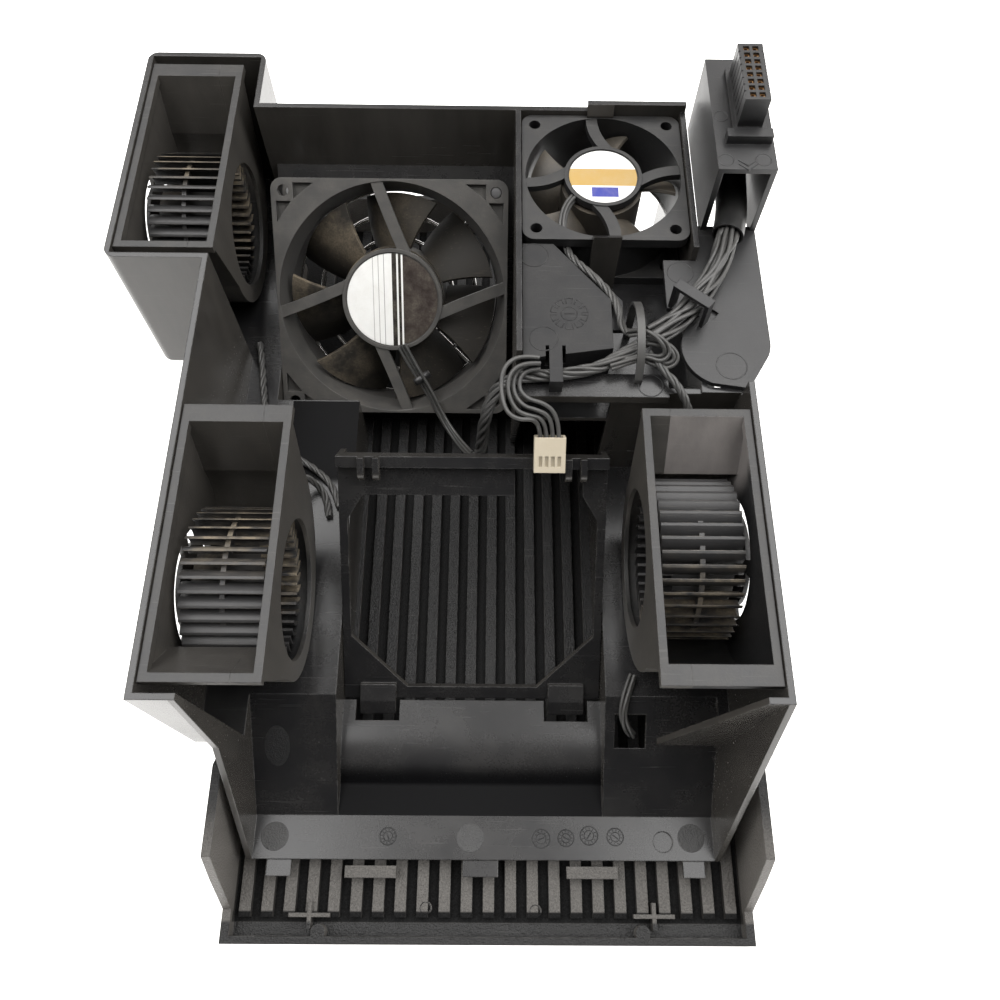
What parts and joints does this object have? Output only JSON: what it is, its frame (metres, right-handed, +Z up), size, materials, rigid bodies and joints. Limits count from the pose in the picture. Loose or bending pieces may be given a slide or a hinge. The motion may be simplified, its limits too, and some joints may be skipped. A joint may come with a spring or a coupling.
{
  "type": "computer case fan assembly",
  "caption": "Moulded server fan shroud with tilted and flat axial fans, double-inlet blowers, an empty fan bay, ribbed cover and one wiring socket.",
  "frame": {"origin": "middle of the box around the assembly, on the surface that it rests on", "axes": "+X across the duct towards the socket tower, +Y from the front strip to the rear wall, +Z up"},
  "size_m": [0.231, 0.317, 0.1385],
  "materials": {
    "cover_plastic": "fine grain",
    "duct_plastic": "satin gloss",
    "lid_plastic": "satin",
    "bracket_plastic": "satin",
    "blower_plastic": "satin",
    "fan_plastic": "dusty satin",
    "wire_sheath": "soft gloss",
    "plug_plastic": "off-white",
    "contact_metal": "plated",
    "guard_wire": "bright wire",
    "steel": "turned",
    "magnet": "bonded ferrite",
    "copper": "enamelled wire",
    "board": "solder mask"
  },
  "bodies": {
    "housing": {"outer_cover": "cover_plastic", "air_duct": "duct_plastic", "fan_bay_frame": "duct_plastic", "wire_cover": "lid_plastic", "connector_bracket": "bracket_plastic", "connector_housing": "bracket_plastic", "connector_contacts": "contact_metal", "finger_guard": "guard_wire", "guard_screws": "steel", "harness_sleeve": "wire_sheath", "cable_tie": "bracket_plastic", "spare_plug": "plug_plastic", "large_fan_frame": "fan_plastic", "large_fan_stator": "copper", "large_fan_bearings": "steel", "large_fan_board": "board", "small_fan_frame": "fan_plastic", "small_fan_stator": "copper", "small_fan_bearings": "steel", "small_fan_board": "board", "rear_left_blower_base": "blower_plastic", "rear_left_blower_cover": "blower_plastic", "rear_left_blower_stator": "copper", "rear_left_blower_bearings": "steel", "front_left_blower_base": "blower_plastic", "front_left_blower_cover": "blower_plastic", "front_left_blower_stator": "copper", "front_left_blower_bearings": "steel", "right_blower_base": "blower_plastic", "right_blower_cover": "blower_plastic", "right_blower_stator": "copper", "right_blower_bearings": "steel", "harness_trunk": "wire_sheath", "shelf_wires": "wire_sheath", "small_fan_lead": "wire_sheath", "large_fan_lead": "wire_sheath", "right_blower_lead": "wire_sheath", "left_blower_leads": "wire_sheath", "spare_wire_1": "wire_sheath", "spare_wire_2": "wire_sheath", "spare_wire_3": "wire_sheath", "spare_wire_4": "wire_sheath"},
    "large_fan_rotor": {"large_fan_impeller": "fan_plastic", "large_fan_yoke": "steel", "large_fan_magnet": "magnet", "large_fan_shaft": "steel"},
    "small_fan_rotor": {"small_fan_impeller": "fan_plastic", "small_fan_yoke": "steel", "small_fan_magnet": "magnet", "small_fan_shaft": "steel"},
    "rear_left_blower_rotor": {"rear_left_blower_wheel": "fan_plastic", "rear_left_blower_magnet": "magnet", "rear_left_blower_shaft": "steel"},
    "front_left_blower_rotor": {"front_left_blower_wheel": "fan_plastic", "front_left_blower_magnet": "magnet", "front_left_blower_shaft": "steel"},
    "right_blower_rotor": {"right_blower_wheel": "fan_plastic", "right_blower_magnet": "magnet", "right_blower_shaft": "steel"}
  },
  "joints": [
    {"name": "large_fan_spin", "type": "hinge", "parent": "housing", "child": "large_fan_rotor", "pos_m": [-0.0202, 0.075, 0.0563], "axis": [0, -0.682, 0.7314], "continuous": true},
    {"name": "small_fan_spin", "type": "hinge", "parent": "housing", "child": "small_fan_rotor", "pos_m": [0.0605, 0.0995, 0.1], "axis": [0, 0, 1], "continuous": true},
    {"name": "rear_left_blower_spin", "type": "hinge", "parent": "housing", "child": "rear_left_blower_rotor", "pos_m": [-0.0957, 0.10225, 0.068], "axis": [1, 0, 0], "continuous": true},
    {"name": "front_left_blower_spin", "type": "hinge", "parent": "housing", "child": "front_left_blower_rotor", "pos_m": [-0.0612, -0.0511, 0.068], "axis": [1, 0, 0], "continuous": true},
    {"name": "right_blower_spin", "type": "hinge", "parent": "housing", "child": "right_blower_rotor", "pos_m": [0.0862, -0.0391, 0.068], "axis": [-1, 0, 0], "continuous": true}
  ]
}
